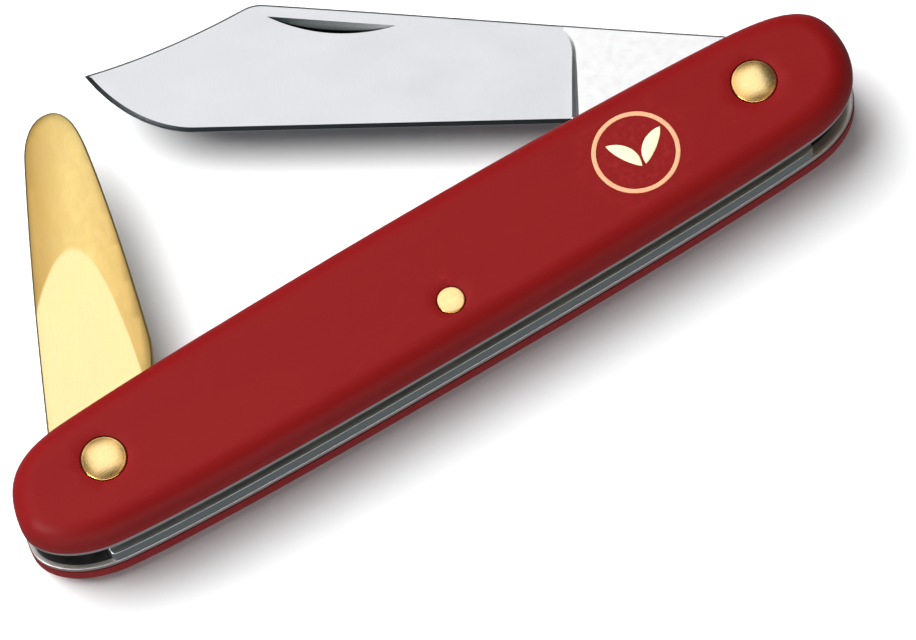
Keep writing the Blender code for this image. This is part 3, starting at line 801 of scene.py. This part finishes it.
rear_lost = scale_face(REAR_ROUND, False)
rear_scale = slab(
    "rear_scale_nylon",
    outline,
    lambda p: np.full(len(p), Z_REAR_SCALE[1]),
    lambda p: Z_REAR_SCALE[0] + rear_lost(p),
    [RED],
    holes=pin_holes,
    lines=scale_rings(REAR_ROUND) + seat_lines,
    grid=1.3,
    angle=32,
)
place(rear_scale, "rear_scale", "handle")


# ======================================================================== liners and springs
def sheet_piece(name, line, z, looks, holes, ease=0.07, grid=2.0):
    rings = [(offset(line, ease * k), True) for k in (0.15, 0.45, 1.0)]
    # The second look, painted shade, covers the faces more than 0.5 mm in from the edge, and more than 1.2 mm beyond x
    # 40, where a wider lit band is kept.
    if len(looks) > 1:
        rings += [(offset(line, 0.5), True), (offset(line, 1.2), True)]

    def lost(p):
        return eased(distance(p, line), ease)

    return slab(
        name,
        line,
        lambda p: z[1] - lost(p),
        lambda p: z[0] + lost(p),
        looks,
        holes=holes,
        lines=rings,
        grid=grid,
        sort=(lambda p: (distance(p, line) > np.where(p[:, 0] > 40, 1.2, 0.5)).astype(int)) if len(looks) > 1 else None,
        angle=30,
    )


for name, inset, z in (
    ("front_liner", LINER_INSET, Z_FRONT_LINER),
    ("rear_liner", LINER_INSET, Z_REAR_LINER),
    ("centre_liner", CENTRE_INSET, Z_CENTRE),
):
    piece = sheet_piece(name + "_sheet", handle_outline(inset), z, [LINER, LINER_FACE_SHADED], pin_holes)
    place(piece, name, "handle")


def clockwise(line):
    area = np.sum(line[:, 0] * np.roll(line[:, 1], -1) - np.roll(line[:, 0], -1) * line[:, 1])
    return line[::-1] if area > 0 else line


spring_hole = circle(SPRING_PIN, SPRING_PIN_R + PIN_GAP, 48)
piece = sheet_piece(
    "blade_back_spring_leaf",
    even(clockwise(spring_outline(LINER_INSET, LIFTER_PIVOT[0], BLADE_PIVOT[0], +1)), 0.45),
    Z_BLADE_SPRING,
    [SPRING],
    [spring_hole, circle(LIFTER_PIVOT, END_PIN_R + PIN_GAP, 48)],
    ease=0.12,
)
place(piece, "blade_back_spring", "handle")
piece = sheet_piece(
    "lifter_back_spring_leaf",
    even(clockwise(spring_outline(CENTRE_INSET, BLADE_PIVOT[0], LIFTER_PIVOT[0], -1)), 0.45),
    Z_LIFTER_SPRING,
    [SPRING_SUNK_SHADED],
    [spring_hole, circle(BLADE_PIVOT, END_PIN_R + PIN_GAP, 48)],
    ease=0.12,
)
place(piece, "lifter_back_spring", "handle")

# ======================================================================== rivets and burrs
for at, pin_r, head_r, kind in PINS:
    name = kind + ("_pivot_rivet" if kind != "spring" else "_rivet")
    drop = 0.33 * (head_r / PINS[0][2]) ** 2
    dome = [(head_r * k / 16, TOP + HEAD_DOME - 0.33 + drop * (1 - (k / 16) ** 2)) for k in range(16)]
    brow = dome[-1]
    for a in (15, 35, 55, 75, 90):
        s, c = math.sin(math.radians(a)), math.cos(math.radians(a))
        dome.append((brow[0] + (head_r - brow[0]) * s, TOP - 0.06 + (brow[1] - TOP + 0.06) * c))
    profile = dome + [
        (head_r, TOP - HEAD_SEAT),
        (pin_r, TOP - HEAD_SEAT),
        (pin_r, -0.16),
        (pin_r * 0.96, -0.24),
        (pin_r * 0.84, -0.30),
        (pin_r * 0.5, -0.345),
        (0.0, -0.36),
    ]
    piece = lathe(name + "_turned", profile, at, [RIVET], angle=40)
    place(piece, name, "handle")
    ring_in = pin_r + PIN_GAP
    burr = [
        (ring_in, HEAD_SEAT),
        (head_r, HEAD_SEAT),
        (head_r, 0.02),
        (head_r * 0.985, -0.04),
        (head_r * 0.94, -0.10),
        (head_r * 0.86, -0.16),
        (head_r * 0.72, -0.205),
        (ring_in + 0.06, -0.24),
        (ring_in, -0.21),
    ]
    piece = lathe(kind + "_rivet_burr_turned", burr, at, [RIVET], angle=40)
    place(piece, kind + "_rivet_burr", "handle")

# ======================================================================== blade
blade_line, edge_line = blade_lines()
blade_mid = (Z_BLADE[0] + Z_BLADE[1]) / 2
HALF = (Z_BLADE[1] - Z_BLADE[0]) / 2
HONE_W, HONE_H, EDGE_H = 0.46, 0.19, 0.03
PLUNGE = 18.8


def plunge_at(y):
    return PLUNGE + 0.065 * (y + 1.0) + 0.14 * np.clip(y - 6.4, 0, None) ** 2


def ramp01(x):
    x = np.clip(x, 0, 1)
    return x * x * (3 - 2 * x)


NICK_A, NICK_B = np.array((53.0, 10.86)), np.array((38.9, 9.69))
NICK_SAGITTA, NICK_DEPTH, NICK_FOOT = 1.4, 0.42, 0.62
nick_along = (NICK_B - NICK_A) / np.linalg.norm(NICK_B - NICK_A)
nick_down = np.array((nick_along[1], -nick_along[0]))
if nick_down[1] > 0:
    nick_down = -nick_down
nick_half = np.linalg.norm(NICK_B - NICK_A) / 2
nick_middle = (NICK_A + NICK_B) / 2
nick_radius = (nick_half**2 + NICK_SAGITTA**2) / (2 * NICK_SAGITTA)


def nick_place(u, s):
    """A point of the nick: u from -1 to 1 along it, s from its straight side 0 to its curved side 1."""
    along = u * nick_half
    sag = math.sqrt(max(nick_radius**2 - along**2, 0)) - (nick_radius - NICK_SAGITTA)
    return nick_middle + nick_along * along + nick_down * sag * s


def nick_share(p):
    """Where points lie in the nick: along it, its width there, the share across it, and whether they are in it."""
    rel = p - nick_middle
    along = rel @ nick_along
    down = rel @ nick_down
    sag = np.sqrt(np.clip(nick_radius**2 - along**2, 0, None)) - (nick_radius - NICK_SAGITTA)
    s = down / np.maximum(sag, 1e-6)
    return along, sag, s, (np.abs(along) < nick_half) & (s > 0) & (s < 1) & (sag > 1e-4)


def nick_depth(p):
    along, sag, s, live = nick_share(p)
    floor = np.where(s < NICK_FOOT, np.clip(s, 0, 1) / NICK_FOOT, (1 - s) / (1 - NICK_FOOT))
    floor = NICK_DEPTH * np.clip(floor, 0, 1) * (np.clip(sag, 0, None) / NICK_SAGITTA) ** 0.6
    return np.where(live, floor * (1 - 0.2 * (along / nick_half + 1)), 0.0)


SPINE_W, SPINE_H = 0.21, 0.085


def blade_half(p, front):
    """Half thickness of the blade."""
    x, y = p[:, 0], p[:, 1]
    d_edge = distance(p, edge_line, closed=False)
    width = np.interp(x, [19.0, 52.0, 73.0], [10.0, 14.2, 14.2])
    ground = HONE_H + (HALF - 0.05 - HONE_H) * np.clip(d_edge / width, 0, 1)
    honed = EDGE_H + (ground - EDGE_H) * np.clip(d_edge / HONE_W, 0, 1)
    blend_w = 0.92 - 0.04 * np.clip(y + 1, 0, 10)
    blend = ramp01((x - plunge_at(y)) / blend_w)
    ground = np.where(d_edge < HONE_W, honed, ground)
    h = HALF * (1 - blend) + ground * blend
    d_out = distance(p, blade_line)
    on_edge = (d_edge < d_out + 1e-4) & (x > PLUNGE + 0.8)
    ease = np.where(on_edge, 0.0, np.clip(1 - d_out / SPINE_W, 0, 1) * SPINE_H)
    h = np.maximum(h - ease, EDGE_H)
    if front:
        h = h - nick_depth(p)
    return h


blade_rings = [(offset(blade_line[::-1], SPINE_W * k), True) for k in (0.5, 1.0)]
honed_line = offset_open(edge_line, HONE_W, -1)
honed_line = honed_line[inside(honed_line, blade_line)]
honed_line = honed_line[distance(honed_line, blade_line) > HONE_W * 0.9]
blade_extra = [(honed_line, False)]
plunge_y = np.linspace(-0.9, 8.9, 27)
for share in (0.0, 0.08, 0.17, 0.27, 0.38, 0.5, 0.62, 0.73, 0.83, 0.92, 1.0):
    blend_w = 0.92 - 0.04 * np.clip(plunge_y + 1, 0, 10)
    blade_extra.append((np.stack([plunge_at(plunge_y) + share * blend_w, plunge_y], 1), False))
nick_u = np.sin(np.linspace(-math.pi / 2, math.pi / 2, 41))
nick_loop = [nick_place(u, 0.0) for u in nick_u] + [nick_place(u, 1.0) for u in nick_u[::-1][1:-1]]
nick_lines = [(np.array(nick_loop), True)]
for s in (0.15, 0.31, 0.47, 0.62, 0.75, 0.88, 0.96):
    nick_lines.append((np.array([nick_place(u, s) for u in nick_u[2:-2]]), False))


def blade_sort(p):
    d_edge = distance(p, edge_line, closed=False)
    ground = p[:, 0] > plunge_at(p[:, 1]) + 0.35
    honed = (d_edge < HONE_W) & (p[:, 0] > PLUNGE + 0.4)
    return np.where(nick_share(p)[3], 3, np.where(honed, 2, np.where(ground, 1, 0)))


blade = slab(
    "grafting_blade_ground",
    blade_line,
    lambda p: blade_half(p, True),
    lambda p: -blade_half(p, False),
    [TANG, GROUND, HONED_DARK_REFLECTION, NICK_SHADED],
    holes=[circle((0, 0), END_PIN_R + PIN_GAP, 48)],
    lines=blade_rings + blade_extra + nick_lines,
    grid=1.1,
    sort=blade_sort,
    angle=11,
    clear=0.35,
)
blade.data.transform(Matrix.Scale(-1, 4, (1, 0, 0)))
blade.data.flip_normals()
blade.data.transform(
    Matrix.Translation((BLADE_PIVOT[0] * MM, 0, blade_mid * MM)) @ Matrix.Rotation(math.radians(-BLADE_OPEN), 4, "Z")
)
place(blade, "grafting_blade", "blade")

# ======================================================================== bark lifter
lifter_line = even(clockwise(lifter_outline()), 0.4)
lifter_mid = (Z_LIFTER[0] + Z_LIFTER[1]) / 2
LHALF = (Z_LIFTER[1] - Z_LIFTER[0]) / 2
APEX = np.array((25.75, 1.27))
FALL, DIP = 0.026, 0.0016


def facet_x(y):
    """Where the flat of the lifter ends, at each y."""
    off = y - APEX[1]
    return APEX[0] - np.where(off > 0, 0.335, 0.44) * off * off


def lifter_top(p):
    x, y = p[:, 0], p[:, 1]
    beyond = np.clip(x - facet_x(y), 0, None)
    h = LHALF - FALL * beyond - DIP * np.clip(x - APEX[0], 0, None) ** 2
    h = np.maximum(h, -LHALF + 0.30)
    return h - eased(distance(p, lifter_line), 0.2)


facet_y = np.linspace(-5.6, 5.55, 60)
facet = np.stack([facet_x(facet_y), facet_y], 1)
facet = facet[inside(facet, lifter_line)]
facet = facet[distance(facet, lifter_line) > 0.25]
lifter_lines = [(facet, False)]
past = facet + np.array((0.35, 0.0))
past = past[inside(past, lifter_line)]
lifter_lines.append((past[distance(past, lifter_line) > 0.25], False))
lifter_rings = [(offset(lifter_line, 0.2), True), (offset(lifter_line, 0.11), True), (offset(lifter_line, 0.04), True)]
lifter = slab(
    "bark_lifter_brass",
    lifter_line,
    lifter_top,
    lambda p: -LHALF + eased(distance(p, lifter_line), 0.12),
    [BRASS],
    holes=[circle((0, 0), END_PIN_R + PIN_GAP, 48)],
    lines=lifter_lines + lifter_rings,
    grid=0.8,
    angle=30,
)
lifter.data.transform(
    Matrix.Translation((LIFTER_PIVOT[0] * MM, 0, lifter_mid * MM)) @ Matrix.Rotation(math.radians(LIFTER_OPEN), 4, "Z")
)
place(lifter, "bark_lifter", "lifter")

# ======================================================================== emblem
ring_z = (TOP - EMBLEM_DEPTH + 0.04, TOP + EMBLEM_PROUD)
r_out, r_in = EMBLEM_R, EMBLEM_R - EMBLEM_LINE
ring_profile = [
    (r_in, ring_z[0]),
    (r_out, ring_z[0]),
    (r_out, ring_z[1] - 0.03),
    (r_out - 0.012, ring_z[1] - 0.01),
    (r_out - 0.04, ring_z[1]),
    (r_in + 0.04, ring_z[1]),
    (r_in + 0.012, ring_z[1] - 0.01),
    (r_in, ring_z[1] - 0.03),
]
piece = lathe("emblem_ring_inlay", ring_profile, EMBLEM_AT, [CREAM], steps=128, angle=50)
place(piece, "emblem_ring", "handle")
for side, foot, turn, width in LEAVES:
    own = leaf_outline((EMBLEM_AT[0] + foot[0], EMBLEM_AT[1] + foot[1]), 4.5, width, turn)
    own = clockwise(own)
    piece = slab(
        "emblem_leaf_" + side + "_inlay",
        own,
        lambda p: ring_z[1] - eased(distance(p, own), 0.05, 0.03),
        lambda p: np.full(len(p), ring_z[0]),
        [LEAF],
        lines=[(offset(own, 0.05), True)],
        grid=0.5,
        angle=50,
    )
    place(piece, "emblem_leaf_" + side, "handle")

# ======================================================================== floor, camera, lights
floor_z = cad_low.z - 0.00002
bm = bmesh.new()
side = 3.0
corners = [bm.verts.new((sx * side, sy * side, floor_z)) for sx, sy in ((-1, -1), (1, -1), (1, 1), (-1, 1))]
bm.faces.new(corners)
floor_mesh = bpy.data.meshes.new("studio_floor")
bm.to_mesh(floor_mesh)
bm.free()
floor_mesh.materials.append(paper())
floor = bpy.data.objects.new("studio_floor", floor_mesh)
scene.collection.objects.link(floor)
floor.visible_glossy = False

# The camera looks down on the knife from the handle's back, turned a little about its own axis.
CAM_ELEVATION, CAM_AZIMUTH, CAM_ROLL = 67.4, -18.623, -12.9
CAM_DISTANCE, CAM_TARGET = 0.6, Vector((-0.000133, -0.005122, 0.009))
e, a, roll = (math.radians(v) for v in (CAM_ELEVATION, CAM_AZIMUTH, CAM_ROLL))
flat_right = Vector((math.cos(a), math.sin(a), 0))
flat_ahead = Vector((-math.sin(a), math.cos(a), 0))
ahead = flat_ahead * math.cos(e) + Vector((0, 0, -math.sin(e)))
up = flat_ahead * math.sin(e) + Vector((0, 0, math.cos(e)))
right_axis = flat_right * math.cos(roll) + up * math.sin(roll)
up_axis = -flat_right * math.sin(roll) + up * math.cos(roll)
camera_data = bpy.data.cameras.new("camera")
camera_data.sensor_width = 36.0
camera_data.lens = 224.913
camera_data.clip_start = 0.01
camera = bpy.data.objects.new("camera", camera_data)
turn = Matrix((right_axis, up_axis, -ahead)).transposed()
camera.matrix_world = Matrix.Translation(CAM_TARGET - ahead * CAM_DISTANCE) @ turn.to_4x4()
scene.collection.objects.link(camera)
scene.camera = camera

# Directions on the floor, as the photograph's up and right
page_up = (flat_ahead * math.cos(roll) - flat_right * math.sin(roll)).normalized()
page_right = (flat_right * math.cos(roll) + flat_ahead * math.sin(roll)).normalized()


def panel(name, up_part, right_part, elevation, distance_m, size, power, colour=(1, 1, 1), size_y=None):
    """A soft box: its direction from the knife on the floor, its elevation, its distance and its side."""
    flat = (page_up * up_part + page_right * right_part).normalized()
    el = math.radians(elevation)
    way = flat * math.cos(el) + Vector((0, 0, math.sin(el)))
    data = bpy.data.lights.new(name, "AREA")
    data.shape = "RECTANGLE"
    data.size = size
    data.size_y = size if size_y is None else size_y
    data.energy = power
    data.color = colour
    lamp = bpy.data.objects.new(name, data)
    lamp.location = way * distance_m
    lamp.rotation_euler = (-way).to_track_quat("-Z", "Y").to_euler()
    scene.collection.objects.link(lamp)
    return lamp


key = panel("key_soft_box", 0.46, -0.89, 56, 1.2, 1.28, 35.0)
key.visible_glossy = False
fill = panel("ceiling_fill", 0.2, 0.2, 82, 1.6, 3.2, 2.0)
fill.visible_glossy = False
sheen = panel("overhead_reflector", 0.92, -0.38, 66, 1.3, 1.0, 4.05)
sheen.visible_diffuse = False
card = panel("near_card", -1.0, 0.15, 14, 1.1, 1.7, 8.0, size_y=0.62)
corner = panel("corner_soft_box", -0.62, -0.78, 42, 1.1, 0.30, 9.5)
corner.visible_diffuse = False
warm = panel("warm_card", -0.15, 1.0, 52, 1.2, 0.75, 1.5, (1.0, 0.72, 0.40))
warm.visible_diffuse = False

world = bpy.data.worlds.new("studio")
scene.world = world
world.use_nodes = True
tree = world.node_tree
background = tree.nodes.get("Background") or tree.nodes.new("ShaderNodeBackground")
if tree.nodes.get("World Output") is None:
    tree.links.new(background.outputs[0], tree.nodes.new("ShaderNodeOutputWorld").inputs[0])
way = tree.nodes.new("ShaderNodeTexCoord")
split = tree.nodes.new("ShaderNodeSeparateXYZ")
tree.links.new(way.outputs["Generated"], split.inputs[0])
rise = tree.nodes.new("ShaderNodeMapRange")
rise.interpolation_type = "SMOOTHSTEP"
rise.inputs["From Min"].default_value = -0.25
rise.inputs["From Max"].default_value = 0.05
rise.inputs["To Min"].default_value = 0.24
rise.inputs["To Max"].default_value = 0.045
tree.links.new(split.outputs[2], rise.inputs["Value"])
tree.links.new(rise.outputs[0], background.inputs["Strength"])
background.inputs["Color"].default_value = (0.88, 0.95, 1.0, 1)
